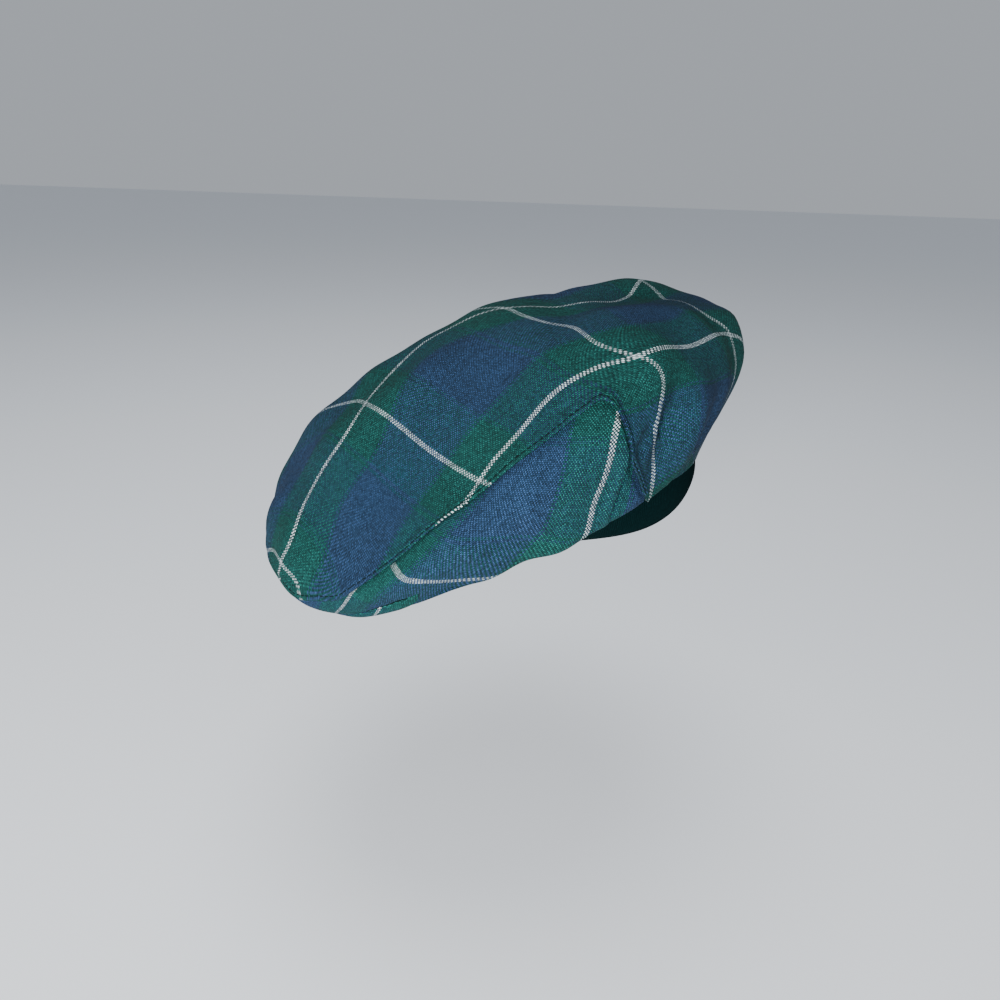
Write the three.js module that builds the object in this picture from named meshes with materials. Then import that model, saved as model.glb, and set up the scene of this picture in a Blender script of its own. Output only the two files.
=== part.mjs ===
// Tam o' shanter of tartan cloth, shown as it sits on a head, in millimetres.
// +Z is up. The origin is the centre of the headband's lower edge, where the hat sits on a head.
// Azimuth is measured round +Z from +X. The hat's front points along FRONT_AZIMUTH.
// Each cloth piece is a wall of one thickness, laid along the same outer surface.

import * as THREE from 'three';
import { mergeVertices } from 'three/addons/utils/BufferGeometryUtils.js';

// Driving dimensions.
const FRONT_AZIMUTH = 210;
const BACK_AZIMUTH = FRONT_AZIMUTH - 180;
const CLOTH = 1.6;
const PIECE_GAP = 0.3;
const SUMMIT_HEIGHT = 93;
const MID_REACH = 46;
const BAND_LENGTH_RADIUS = 97;
const BAND_WIDTH_RADIUS = 80;
const BAND_WALL = 2.4;
const BAND_HEIGHT = 22;
const BAND_BULGE = 1.6;
const BAND_SWELL_TOP = 0.75;
const LIP_THICKNESS = 2.4;
const LIP_GAP = 0.6;
const LIP_HALF_ANGLE = 35;
const LIP_OUTER_LEVEL = 3.72;
const LIP_INNER_LEVEL = 4.4;
const LIP_POINT_WIDTH = 0.06;
const LIP_POINT_THICKNESS = 0.3;
const TUCK_GAP = 0.28;

// The cloth's outer surface, one row for each azimuth from 0 upwards in equal steps. Each row follows the
// profile outwards. The mid and the hem are heights. The shoulder, rim and fold are a reach and a height.
const ROW_STEP = 30;
const SURFACE_ROWS = [
  { mid: 98, shoulder: [96, 92], rim: [110, 73], fold: [103, 42], hem: 18 },
  { mid: 99, shoulder: [99, 91], rim: [118, 67], fold: [111, 38], hem: 18 },
  { mid: 94, shoulder: [94, 76], rim: [117, 48], fold: [109, 24], hem: 17 },
  { mid: 87, shoulder: [92, 60], rim: [117, 32], fold: [106, 8], hem: 15 },
  { mid: 82, shoulder: [92, 48], rim: [120, 16], fold: [106, -8], hem: 14 },
  { mid: 78, shoulder: [97, 41], rim: [128, 0], fold: [111, -22], hem: 13 },
  { mid: 76, shoulder: [106, 33], rim: [134, -10], fold: [118, -34], hem: 12 },
  { mid: 76, shoulder: [110, 24], rim: [140, -26], fold: [125, -43], hem: 12 },
  { mid: 80, shoulder: [96, 28], rim: [124, -12], fold: [113, -28], hem: 13 },
  { mid: 88, shoulder: [84, 66], rim: [107, 34], fold: [94, -3], hem: 14 },
  { mid: 93, shoulder: [80, 86], rim: [98, 62], fold: [92, 16], hem: 17 },
  { mid: 97, shoulder: [84, 88], rim: [100, 66], fold: [93, 38], hem: 18 },
];

// Levels along a profile: 0 summit, 1 mid, 2 shoulder, 3 rim, 4 fold or lower side, 5 hem.
const SHOULDER_LEVEL = 2;
const FOLD_LEVEL = 4;
const HEM_LEVEL = 5;

// The slack cloth's ridges (depth above 0) and valleys. Each runs from its top to its foot, which its two
// azimuths and two levels give in that order. The width is half the fold's own, in degrees.
const FOLDS = [
  { name: 'back peak', azimuths: [22, 20], levels: [0.7, 2.1], width: 13, depth: 5 },
  { name: 'right notch', azimuths: [350, 346], levels: [1.5, 2.3], width: 6, depth: -3 },
  { name: 'tuck pocket', azimuths: [314, 303], levels: [2.2, 4], width: 4, depth: -4 },
  { name: 'tuck ridge', azimuths: [322, 312], levels: [2.2, 4.5], width: 4, depth: 2 },
  { name: 'right pocket', azimuths: [332, 328], levels: [2.5, 4.2], width: 5, depth: -3 },
  { name: 'right ridge', azimuths: [350, 345], levels: [2.5, 4.6], width: 7, depth: 2 },
  { name: 'right valley', azimuths: [10, 4], levels: [2.2, 4.6], width: 6, depth: -4 },
  { name: 'back valley', azimuths: [46, 40], levels: [1.7, 4.6], width: 7, depth: -5 },
  { name: 'far back ridge', azimuths: [62, 58], levels: [1.7, 4.4], width: 7, depth: 4 },
  { name: 'far valley', azimuths: [82, 76], levels: [2, 4.6], width: 7, depth: -4 },
  { name: 'far tuck ridge', azimuths: [106, 104], levels: [2.2, 4.4], width: 6, depth: 3 },
];

// Height of the crown's edge seam, from the far tuck round the front to the near tuck.
const FAR_TUCK = 124;
const NEAR_TUCK = 297;
const SEAM_ROWS = [
  { azimuth: FAR_TUCK, height: 18 },
  { azimuth: 126, height: 30 },
  { azimuth: 132, height: 36 },
  { azimuth: 146, height: 14 },
  { azimuth: 160, height: -8 },
  { azimuth: 175, height: -20 },
  { azimuth: 190, height: -26 },
  { azimuth: 203, height: -28 },
  { azimuth: 212, height: -28.5 },
  { azimuth: 219, height: -30 },
  { azimuth: 225, height: -28 },
  { azimuth: 230, height: -23 },
  { azimuth: 234, height: -15 },
  { azimuth: 240, height: -3 },
  { azimuth: 247, height: 13 },
  { azimuth: 257, height: 31 },
  { azimuth: 272, height: 53 },
  { azimuth: 283, height: 66 },
  { azimuth: 288, height: 69.5 },
  { azimuth: 291, height: 65.5 },
  { azimuth: 293, height: 55 },
  { azimuth: 295, height: 42 },
  { azimuth: NEAR_TUCK, height: 36 },
];

// The headband's section, from its inner lower corner: shares of the wall outwards and of the height.
const BAND_SECTION = [
  [0, 0.06],
  [0.55, 0],
  [1, 0.12],
  [1, 0.38],
  [1, 0.75],
  [0.9, 0.92],
  [0.5, 1],
  [0, 1],
];

// Mesh fineness.
const COLUMN_STEP = 6;
const TUCK_COLUMN_STEPS = [0, 0.9, 2, 4, 6, 9, 12];
const TOP_ROWS = 8;
const CROWN_SIDE_ROWS = 10;
const SIDE_ROWS = 14;
const LIP_COLUMNS = 24;
const LIP_ROWS = 4;
const BAND_COLUMNS = 72;

const radians = THREE.MathUtils.degToRad;

// Catmull-Rom through four neighbours, for a column of a table with equal steps.
function throughFour(a, b, c, d, t) {
  const straight = (c - a) * t;
  const square = (2 * a - 5 * b + 4 * c - d) * t * t;
  const cube = (3 * b - a - 3 * c + d) * t * t * t;
  return 0.5 * (2 * b + straight + square + cube);
}

// A value of the surface table at any azimuth, on a smooth closed curve through its rows.
function surfaceValue(read, azimuth) {
  const count = SURFACE_ROWS.length;
  const place = (((azimuth % 360) + 360) % 360) / ROW_STEP;
  const row = Math.floor(place);
  const near = [-1, 0, 1, 2].map((step) => read(SURFACE_ROWS[(row + step + count) % count]));
  return throughFour(...near, place - row);
}

// Slope of the seam at a row of its table, from the rows beside it.
function seamSlope(row) {
  const before = SEAM_ROWS[Math.max(row - 1, 0)];
  const after = SEAM_ROWS[Math.min(row + 1, SEAM_ROWS.length - 1)];
  return (after.height - before.height) / (after.azimuth - before.azimuth);
}

// Height of the seam at an azimuth, on a smooth curve through the rows of its table.
function seamHeight(azimuth) {
  const next = Math.max(SEAM_ROWS.findIndex((row) => row.azimuth >= azimuth), 1);
  const before = SEAM_ROWS[next - 1];
  const after = SEAM_ROWS[next];
  const span = after.azimuth - before.azimuth;
  const t = (azimuth - before.azimuth) / span;
  const t2 = t * t;
  const t3 = t2 * t;
  const ends = (2 * t3 - 3 * t2 + 1) * before.height + (3 * t2 - 2 * t3) * after.height;
  const leave = (t3 - 2 * t2 + t) * span * seamSlope(next - 1);
  const arrive = (t3 - t2) * span * seamSlope(next);
  return ends + leave + arrive;
}

// The headband is an ellipse, longer from front to back.
function bandReach(azimuth) {
  const turn = radians(azimuth - BACK_AZIMUTH);
  const across = BAND_WIDTH_RADIUS * Math.cos(turn);
  const along = BAND_LENGTH_RADIUS * Math.sin(turn);
  return (BAND_LENGTH_RADIUS * BAND_WIDTH_RADIUS) / Math.hypot(across, along);
}

// The profile's knots at an azimuth, with one more beyond each end to set its direction there.
function profileKnots(azimuth) {
  const height = (column) => surfaceValue((row) => row[column], azimuth);
  const knot = (column) => new THREE.Vector2(
    surfaceValue((row) => row[column][0], azimuth),
    surfaceValue((row) => row[column][1], azimuth),
  );
  const hemReach = bandReach(azimuth) + PIECE_GAP + CLOTH;
  const hem = new THREE.Vector2(hemReach, height('hem'));
  const fold = knot('fold');
  return [
    new THREE.Vector2(-MID_REACH, height('mid')),
    new THREE.Vector2(0, SUMMIT_HEIGHT),
    new THREE.Vector2(MID_REACH, height('mid')),
    knot('shoulder'),
    knot('rim'),
    fold,
    hem,
    new THREE.Vector2(hemReach, 2 * hem.y - fold.y),
  ];
}

// A centripetal curve through the knots: x is the reach from the axis, y is the height.
function profilePoint(azimuth, level) {
  const knots = profileKnots(azimuth);
  const span = Math.min(Math.floor(level), HEM_LEVEL - 1);
  const t = level - span;
  const [a, b, c, d] = knots.slice(span, span + 4);
  const stepA = Math.sqrt(a.distanceTo(b));
  const stepB = Math.sqrt(b.distanceTo(c));
  const stepC = Math.sqrt(c.distanceTo(d));
  const blend = (p, q, r, s) => {
    const leave = ((q - p) / stepA - (r - p) / (stepA + stepB) + (r - q) / stepB) * stepB;
    const arrive = ((r - q) / stepB - (s - q) / (stepB + stepC) + (s - r) / stepC) * stepB;
    const t2 = t * t;
    const t3 = t2 * t;
    const ends = (2 * t3 - 3 * t2 + 1) * q + (3 * t2 - 2 * t3) * r;
    return ends + (t3 - 2 * t2 + t) * leave + (t3 - t2) * arrive;
  };
  return new THREE.Vector2(blend(a.x, b.x, c.x, d.x), blend(a.y, b.y, c.y, d.y));
}

// How far the folds lift the cloth off its smooth surface.
function foldLift(azimuth, level) {
  let lift = 0;
  for (const fold of FOLDS) {
    const along = THREE.MathUtils.inverseLerp(...fold.levels, level);
    if (along <= 0 || along >= 1) continue;
    const middle = THREE.MathUtils.lerp(...fold.azimuths, along);
    const aside = ((azimuth - middle + 540) % 360) - 180;
    lift += fold.depth * Math.sin(Math.PI * along) ** 1.5 * Math.exp(-((aside / fold.width) ** 2));
  }
  return lift;
}

function smoothPoint(azimuth, level) {
  const profile = profilePoint(azimuth, level);
  const turn = radians(azimuth);
  return new THREE.Vector3(profile.x * Math.cos(turn), profile.x * Math.sin(turn), profile.y);
}

function smoothNormal(azimuth, level) {
  if (level < 0.02) return new THREE.Vector3(0, 0, 1);
  const step = 0.01;
  const low = Math.max(level - step, 0.005);
  const high = Math.min(level + step, HEM_LEVEL);
  const down = smoothPoint(azimuth, high).sub(smoothPoint(azimuth, low));
  const around = smoothPoint(azimuth + 0.5, level).sub(smoothPoint(azimuth - 0.5, level));
  return down.cross(around).normalize();
}

// A point of the cloth, sunk below its outer face by a depth.
function clothPoint(azimuth, level, depth) {
  const lift = foldLift(azimuth, level) - depth;
  return smoothPoint(azimuth, level).addScaledVector(smoothNormal(azimuth, level), lift);
}

// The level at which the profile passes a height, on its outer side.
function levelAtHeight(azimuth, height) {
  let low = 1.2;
  let high = 4;
  for (let turn = 0; turn < 30; turn += 1) {
    const middle = (low + high) / 2;
    if (profilePoint(azimuth, middle).y > height) low = middle;
    else high = middle;
  }
  return (low + high) / 2;
}

// The seam's level, moved down the cloth by a distance.
function seamLevel(azimuth, distance) {
  const level = levelAtHeight(azimuth, seamHeight(azimuth));
  const step = 0.02;
  const slope = smoothPoint(azimuth, level + step).distanceTo(smoothPoint(azimuth, level)) / step;
  return level + distance / slope;
}

// Collects triangles and makes a flat-shaded mesh with shared corners merged.
function solidMesh(name, triangles, material) {
  const places = triangles.flatMap((triangle) => triangle.flatMap((point) => point.toArray()));
  const loose = new THREE.BufferGeometry();
  loose.setAttribute('position', new THREE.Float32BufferAttribute(places, 3));
  const geometry = mergeVertices(loose, 1e-4);
  geometry.computeVertexNormals();
  const mesh = new THREE.Mesh(geometry, material);
  mesh.name = name;
  return mesh;
}

// Two triangles for four corners, left out where corners fall together.
function quad(triangles, a, b, c, d) {
  const apart = (p, q) => p.distanceToSquared(q) > 1e-8;
  if (apart(a, b) && apart(b, c) && apart(c, a)) triangles.push([a, b, c]);
  if (apart(a, c) && apart(c, d) && apart(d, a)) triangles.push([a, c, d]);
}

// A wall from two grids of points with the same layout: outer face and inner face.
function wallTriangles(outer, inner, closedRound) {
  const triangles = [];
  const columns = outer.length;
  const last = outer[0].length - 1;
  const spans = closedRound ? columns : columns - 1;
  for (let i = 0; i < spans; i += 1) {
    const j = (i + 1) % columns;
    for (let k = 0; k < last; k += 1) {
      quad(triangles, outer[i][k], outer[i][k + 1], outer[j][k + 1], outer[j][k]);
      quad(triangles, inner[i][k], inner[j][k], inner[j][k + 1], inner[i][k + 1]);
    }
    quad(triangles, outer[i][last], inner[i][last], inner[j][last], outer[j][last]);
    quad(triangles, outer[i][0], outer[j][0], inner[j][0], inner[i][0]);
  }
  if (closedRound) return triangles;
  for (const [i, order] of [[0, 1], [columns - 1, -1]]) {
    for (let k = 0; k < last; k += 1) {
      const corners = [outer[i][k], inner[i][k], inner[i][k + 1], outer[i][k + 1]];
      if (order < 0) corners.reverse();
      quad(triangles, ...corners);
    }
  }
  return triangles;
}

// Levels in equal steps from one level to another, both included.
function levelsBetween(from, to, rows) {
  return Array.from({ length: rows + 1 }, (unused, k) => THREE.MathUtils.lerp(from, to, k / rows));
}

function clothGrid(columns, depth) {
  return columns.map(({ azimuth, levels }) => levels.map((level) => clothPoint(azimuth, level, depth)));
}

// Azimuths of the side panel's columns, closer together beside its two tucks.
function sideAzimuths() {
  const far = TUCK_COLUMN_STEPS.map((step) => FAR_TUCK + step);
  const near = TUCK_COLUMN_STEPS.map((step) => NEAR_TUCK - step).reverse();
  const start = far[far.length - 1];
  const gap = near[0] - start;
  const count = Math.round(gap / COLUMN_STEP);
  const middle = Array.from({ length: count - 1 }, (unused, k) => start + (gap * (k + 1)) / count);
  return [...far, ...middle, ...near];
}

// A column of the crown: the same levels down to the shoulder, and then on to the crown's own edge.
function crownColumn(azimuth, edgeLevel) {
  const top = levelsBetween(0, SHOULDER_LEVEL, TOP_ROWS);
  const side = levelsBetween(SHOULDER_LEVEL, edgeLevel, CROWN_SIDE_ROWS);
  return { azimuth, levels: [...top, ...side.slice(1)] };
}

// The crown: over the top, down to the seam in front and all the way to the hem behind.
function makeCrown() {
  const columns = sideAzimuths().map((azimuth) => crownColumn(azimuth, seamLevel(azimuth, -PIECE_GAP)));
  const farCorner = { ...columns[0], azimuth: FAR_TUCK + 360 - TUCK_GAP / 2 };
  const nearCorner = { ...columns[columns.length - 1], azimuth: NEAR_TUCK + TUCK_GAP / 2 };
  const backStart = NEAR_TUCK + TUCK_GAP;
  const backSpan = FAR_TUCK + 360 - TUCK_GAP - backStart;
  const count = Math.round(backSpan / COLUMN_STEP);
  const back = Array.from({ length: count + 1 }, (unused, k) => (
    crownColumn(backStart + (backSpan * k) / count, HEM_LEVEL)
  ));
  const round = [...columns, nearCorner, ...back, farCorner];
  const triangles = wallTriangles(clothGrid(round, 0), clothGrid(round, CLOTH), true);
  const material = new THREE.MeshStandardMaterial({ color: 0x1f5560, roughness: 0.95, metalness: 0 });
  return solidMesh('crown_top', triangles, material);
}

// The side panel: from the seam, over the rim, under the slack fold and up to the headband.
function makeSidePanel() {
  const columns = sideAzimuths().map((azimuth) => (
    { azimuth, levels: levelsBetween(seamLevel(azimuth, 0), HEM_LEVEL, SIDE_ROWS) }
  ));
  const triangles = wallTriangles(clothGrid(columns, 0), clothGrid(columns, CLOTH), false);
  const material = new THREE.MeshStandardMaterial({ color: 0x2c6f74, roughness: 0.95, metalness: 0 });
  return solidMesh('side_panel', triangles, material);
}

// The front lip: a stiff crescent under the front fold, widest in the middle and pointed at both ends.
function makeFrontLip() {
  const shares = levelsBetween(-1, 1, LIP_COLUMNS);
  const grid = (below) => shares.map((share) => {
    const azimuth = FRONT_AZIMUTH + LIP_HALF_ANGLE * share;
    const arch = Math.sqrt(1 - share * share);
    const fullness = THREE.MathUtils.lerp(LIP_POINT_WIDTH, 1, arch);
    const outer = THREE.MathUtils.lerp(FOLD_LEVEL, LIP_OUTER_LEVEL, fullness);
    const inner = THREE.MathUtils.lerp(FOLD_LEVEL, LIP_INNER_LEVEL, fullness);
    const thickness = below * LIP_THICKNESS * THREE.MathUtils.lerp(LIP_POINT_THICKNESS, 1, fullness);
    return levelsBetween(outer, inner, LIP_ROWS).map((level) => (
      clothPoint(azimuth, level, -LIP_GAP - thickness)
    ));
  });
  const material = new THREE.MeshStandardMaterial({ color: 0x27636c, roughness: 0.95, metalness: 0 });
  return solidMesh('front_lip', wallTriangles(grid(1), grid(0), false), material);
}

// The knitted headband: a soft ring whose outer face swells a little between its two edges.
function makeHeadband() {
  const outline = BAND_SECTION.map(([outward, up]) => {
    const swell = BAND_BULGE * Math.sin(Math.PI * Math.min(up / BAND_SWELL_TOP, 1)) * outward;
    return { outward: outward * BAND_WALL - BAND_WALL + swell, height: up * BAND_HEIGHT };
  });
  const triangles = [];
  const rings = Array.from({ length: BAND_COLUMNS }, (unused, i) => {
    const azimuth = (360 * i) / BAND_COLUMNS;
    const turn = radians(azimuth);
    return outline.map(({ outward, height }) => {
      const reach = bandReach(azimuth) + outward;
      return new THREE.Vector3(reach * Math.cos(turn), reach * Math.sin(turn), height);
    });
  });
  for (let i = 0; i < BAND_COLUMNS; i += 1) {
    const j = (i + 1) % BAND_COLUMNS;
    for (let k = 0; k < outline.length; k += 1) {
      const m = (k + 1) % outline.length;
      quad(triangles, rings[i][k], rings[j][k], rings[j][m], rings[i][m]);
    }
  }
  const material = new THREE.MeshStandardMaterial({ color: 0x08302e, roughness: 1, metalness: 0 });
  return solidMesh('headband', triangles, material);
}

const group = new THREE.Group();
group.add(makeCrown(), makeSidePanel(), makeFrontLip(), makeHeadband());

export default group;
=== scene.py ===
# %% [markdown]
# A soft tam of tartan cloth, as it sits on a head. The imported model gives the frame: its solids say where
# each panel lies, and this script lays finer cloth over them, with folds, seams, thread and a woven finish.
# Everything is in metres, and small sizes are written in millimetres times MM.

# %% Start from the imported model
import math

import bmesh
import bpy
import numpy as np
from mathutils import Matrix, Vector
from mathutils.bvhtree import BVHTree


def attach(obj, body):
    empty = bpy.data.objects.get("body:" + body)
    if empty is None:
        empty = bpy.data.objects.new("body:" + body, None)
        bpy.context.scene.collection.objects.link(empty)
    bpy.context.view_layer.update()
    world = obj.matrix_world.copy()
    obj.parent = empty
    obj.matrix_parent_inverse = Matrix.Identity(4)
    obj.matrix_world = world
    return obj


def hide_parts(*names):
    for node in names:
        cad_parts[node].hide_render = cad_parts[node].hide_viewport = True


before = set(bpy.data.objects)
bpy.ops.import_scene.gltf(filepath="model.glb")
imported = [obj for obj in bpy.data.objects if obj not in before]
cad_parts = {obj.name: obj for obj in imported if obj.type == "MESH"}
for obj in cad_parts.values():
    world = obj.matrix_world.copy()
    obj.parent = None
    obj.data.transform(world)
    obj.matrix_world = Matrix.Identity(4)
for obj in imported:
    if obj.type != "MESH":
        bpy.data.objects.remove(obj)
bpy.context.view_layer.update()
MM = 0.001

# %% [markdown]
# The camera comes first, because creases and stripes are placed by where the photograph shows them. A phone's
# main lens sees about as much as a 27 mm lens on this square frame. It stood in front of the hat's near side,
# a little above it, looked down, and was rolled by two degrees.

# %% Camera
FRAME_PIXELS = 1000
SENSOR = 36.0
LENS = 27.0
LOOK_DOWN = math.radians(25)
ROLL = math.radians(2)
SEAT_PIXEL = (525, 472)
SEAT_DEPTH = 0.4167

focal_pixels = LENS / SENSOR * FRAME_PIXELS
look = Vector((0, math.cos(LOOK_DOWN), -math.sin(LOOK_DOWN)))
level_right = Vector((1, 0, 0))
level_up = level_right.cross(look)
camera_right = math.cos(ROLL) * level_right + math.sin(ROLL) * level_up
camera_up = -math.sin(ROLL) * level_right + math.cos(ROLL) * level_up


def pixel_ray(pixel):
    """The direction in which the camera sees a pixel of the photograph, one metre deep."""
    across = (pixel[0] - FRAME_PIXELS / 2) / focal_pixels
    upward = (FRAME_PIXELS / 2 - pixel[1]) / focal_pixels
    return look + across * camera_right + upward * camera_up


camera_place = -SEAT_DEPTH * pixel_ray(SEAT_PIXEL)
camera_data = bpy.data.cameras.new("photo_camera")
camera_data.sensor_width = SENSOR
camera_data.lens = LENS
camera_data.clip_start = 0.01
camera = bpy.data.objects.new("photo_camera", camera_data)
bpy.context.collection.objects.link(camera)
turn = Matrix((camera_right, camera_up, -look)).transposed()
camera.matrix_world = Matrix.Translation(camera_place) @ turn.to_4x4()
bpy.context.scene.camera = camera
print("camera at", [round(v, 3) for v in camera_place])

# %% [markdown]
# The slack cloth is one surface round the head. At each azimuth a profile runs from the summit over the
# shoulder and the rim, under the slack fold and in to the headband. A short table gives its knots every
# thirty degrees, in millimetres. A level counts the knots passed: 0 is the summit, 2 the shoulder, 3 the rim,
# 4 the fold and 5 the hem on the band.

# %% Table of the slack surface
ROW_STEP = 30
SUMMIT_HEIGHT = 93
MID_REACH = 46
FRONT = 210
BACK = FRONT - 180
BAND_LENGTH_RADIUS = 97
BAND_WIDTH_RADIUS = 80
BAND_HEIGHT = 22
CLOTH_ROOM = 1.9
COLUMNS = ("mid_height", "shoulder_reach", "shoulder_height", "rim_reach", "rim_height",
           "fold_reach", "fold_height", "hem_height")
SURFACE_ROWS = np.array([
    (98, 96, 92, 110, 73, 103, 42, 18),
    (99, 99, 91, 118, 67, 111, 38, 18),
    (94, 94, 76, 117, 48, 109, 24, 17),
    (87, 92, 60, 117, 32, 106, 8, 15),
    (82, 92, 48, 120, 16, 106, -8, 14),
    (78, 97, 41, 128, 0, 111, -22, 13),
    (76, 106, 33, 134, -10, 118, -34, 12),
    (76, 110, 24, 140, -26, 125, -43, 12),
    (80, 96, 28, 124, -12, 113, -28, 13),
    (88, 84, 66, 107, 34, 94, -3, 14),
    (93, 80, 86, 98, 62, 92, 16, 17),
    (97, 84, 88, 100, 66, 93, 38, 18),
], dtype=float)
RIM, FOLD, HEM = 3.0, 4.0, 5.0
print("surface rows:", len(SURFACE_ROWS), "columns:", len(COLUMNS))

# %% [markdown]
# Round the head, a smooth closed curve runs through each column of the table. Along a profile, a centripetal
# curve runs through the knots, because it doesn't overshoot where two knots lie close together.

# %% Profile curve through the table


def surface_value(column, azimuth):
    """A column of the table at any azimuth, on a smooth closed curve through its rows."""
    values = SURFACE_ROWS[:, COLUMNS.index(column)]
    place = np.mod(azimuth, 360) / ROW_STEP
    row = np.floor(place).astype(int)
    t = place - row
    a, b, c, d = (values[(row + step) % len(values)] for step in (-1, 0, 1, 2))
    square = (2 * a - 5 * b + 4 * c - d) * t * t
    cube = (3 * b - a - 3 * c + d) * t * t * t
    return 0.5 * (2 * b + (c - a) * t + square + cube)


def band_reach(azimuth):
    """Reach of the headband's outer face, an ellipse that is longer from front to back."""
    aside = np.radians(azimuth - BACK)
    across = BAND_WIDTH_RADIUS * np.cos(aside)
    along = BAND_LENGTH_RADIUS * np.sin(aside)
    return BAND_LENGTH_RADIUS * BAND_WIDTH_RADIUS / np.hypot(across, along)


def profile(azimuth, level):
    """Reach and height of the smooth surface, in millimetres."""
    azimuth, level = np.broadcast_arrays(np.asarray(azimuth, float), np.asarray(level, float))
    azimuth, level = azimuth.ravel(), level.ravel()
    at = {name: surface_value(name, azimuth) for name in COLUMNS}
    middle = np.full(azimuth.shape, float(MID_REACH))
    hem_reach = band_reach(azimuth) + CLOTH_ROOM
    knots = np.array([
        (-middle, at["mid_height"]),
        (0 * middle, 0 * middle + SUMMIT_HEIGHT),
        (middle, at["mid_height"]),
        (at["shoulder_reach"], at["shoulder_height"]),
        (at["rim_reach"], at["rim_height"]),
        (at["fold_reach"], at["fold_height"]),
        (hem_reach, at["hem_height"]),
        (hem_reach, 2 * at["hem_height"] - at["fold_height"]),
    ])
    span = np.clip(np.floor(level).astype(int), 0, 4)
    t = level - span
    each = np.arange(azimuth.size)
    a, b, c, d = (knots[span + step, :, each].T for step in range(4))
    step_a, step_b, step_c = (np.sqrt(np.hypot(*(q - p))) for p, q in ((a, b), (b, c), (c, d)))
    leave = ((b - a) / step_a - (c - a) / (step_a + step_b) + (c - b) / step_b) * step_b
    arrive = ((c - b) / step_b - (d - b) / (step_b + step_c) + (d - c) / step_c) * step_b
    t2 = t * t
    t3 = t2 * t
    ends = (2 * t3 - 3 * t2 + 1) * b + (3 * t2 - 2 * t3) * c
    return ends + (t3 - 2 * t2 + t) * leave + (t3 - t2) * arrive


def smooth_point(azimuth, level):
    """Points of the smooth surface, in millimetres."""
    reach, height = profile(azimuth, level)
    aside = np.radians(np.broadcast_arrays(np.asarray(azimuth, float), np.asarray(level, float))[0].ravel())
    return np.stack([reach * np.cos(aside), reach * np.sin(aside), height], axis=-1)


NORMAL_STEP = 0.01
NEXT_TO_SUMMIT = 0.02


def smooth_normal(azimuth, level):
    """Outward normals of the smooth surface, straight up at the summit."""
    level = np.asarray(level, float)
    down = smooth_point(azimuth, np.minimum(level + NORMAL_STEP, HEM))
    down -= smooth_point(azimuth, np.maximum(level - NORMAL_STEP, NORMAL_STEP / 2))
    around = smooth_point(azimuth + 0.5, level) - smooth_point(azimuth - 0.5, level)
    normal = np.cross(down, around)
    normal[level < NEXT_TO_SUMMIT] = (0, 0, 1)
    return normal / np.linalg.norm(normal, axis=-1, keepdims=True)


print("reach and height at the front rim:", profile(FRONT, RIM).round(1).ravel())

# %% [markdown]
# The crown's edge seam runs from the far tuck, round the front under the rim, and up to the near tuck. Past a
# tuck the crown reaches down to the band. The slack cloth there stands in soft flutes, as in the CAD.

# %% Seam and flutes
FAR_TUCK, NEAR_TUCK = 124.0, 297.0
SEAM_ROWS = np.array([
    (124, 18), (126, 30), (132, 36), (146, 14), (160, -8), (175, -20), (190, -26), (203, -28),
    (212, -28.5), (219, -30), (225, -26.5), (230, -22.5), (234, -15), (240, -3), (247, 13), (257, 31),
    (272, 53), (283, 66), (288, 69.5), (291, 65.5), (293, 55), (295, 42), (297, 36),
], dtype=float)
FLUTES = [
    # top azimuth, foot azimuth, top level, foot level, half-width in degrees, depth in mm
    ("back peak", 33, 31, 0.7, 2.1, 9, 2.4),
    ("right notch", 350, 346, 1.5, 2.3, 6, -3),
    ("tuck pocket", 314, 303, 2.2, 4.0, 4, -4),
    ("tuck ridge", 322, 312, 2.2, 4.5, 4, 2),
    ("right pocket", 332, 328, 2.5, 4.2, 5, -3),
    ("right ridge", 350, 345, 2.5, 4.6, 7, -1.5),
    ("right valley", 10, 4, 2.2, 4.6, 6, -4),
    ("back valley", 46, 40, 1.7, 4.6, 7, -5),
    ("far back ridge", 62, 58, 1.7, 4.4, 7, 4),
    ("far valley", 82, 76, 2.0, 4.6, 7, -4),
    ("far tuck ridge", 106, 104, 2.2, 4.4, 6, 3),
    ("right inset", 356, 340, 1.3, 4.1, 8, -3.6),
    ("far back dip", 62, 60, 0.2, 1.6, 14, -2.5),
    ("back right dip", 10, 6, 0.7, 2.3, 10, -4),
    ("front roll", 214, 212, 3.0, 3.9, 13, 2.6),
    ("hem rise", 251, 251, 3.1, 4.3, 7, -2.4),
    ("hem drop", 277, 277, 3.5, 4.5, 7, 2.4),
]


SEARCH_TOP = 1.2
HALVINGS = 30


def seam_height(azimuth):
    """Height of the seam, on a smooth curve through its table."""
    turns, heights = SEAM_ROWS.T
    slopes = np.gradient(heights, turns)
    nxt = np.clip(np.searchsorted(turns, azimuth), 1, len(turns) - 1)
    span = turns[nxt] - turns[nxt - 1]
    t = np.clip((azimuth - turns[nxt - 1]) / span, 0, 1)
    t2, t3 = t * t, t * t * t
    ends = (2 * t3 - 3 * t2 + 1) * heights[nxt - 1] + (3 * t2 - 2 * t3) * heights[nxt]
    return ends + (t3 - 2 * t2 + t) * span * slopes[nxt - 1] + (t3 - t2) * span * slopes[nxt]


def level_at_height(azimuth, height):
    """The level, between the top and the fold, at which the profile comes down to a height."""
    low, high = np.full(azimuth.shape, SEARCH_TOP), np.full(azimuth.shape, FOLD)
    for _ in range(HALVINGS):
        middle = (low + high) / 2
        above = profile(azimuth, middle)[1] > height
        low, high = np.where(above, middle, low), np.where(above, high, middle)
    return (low + high) / 2


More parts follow.
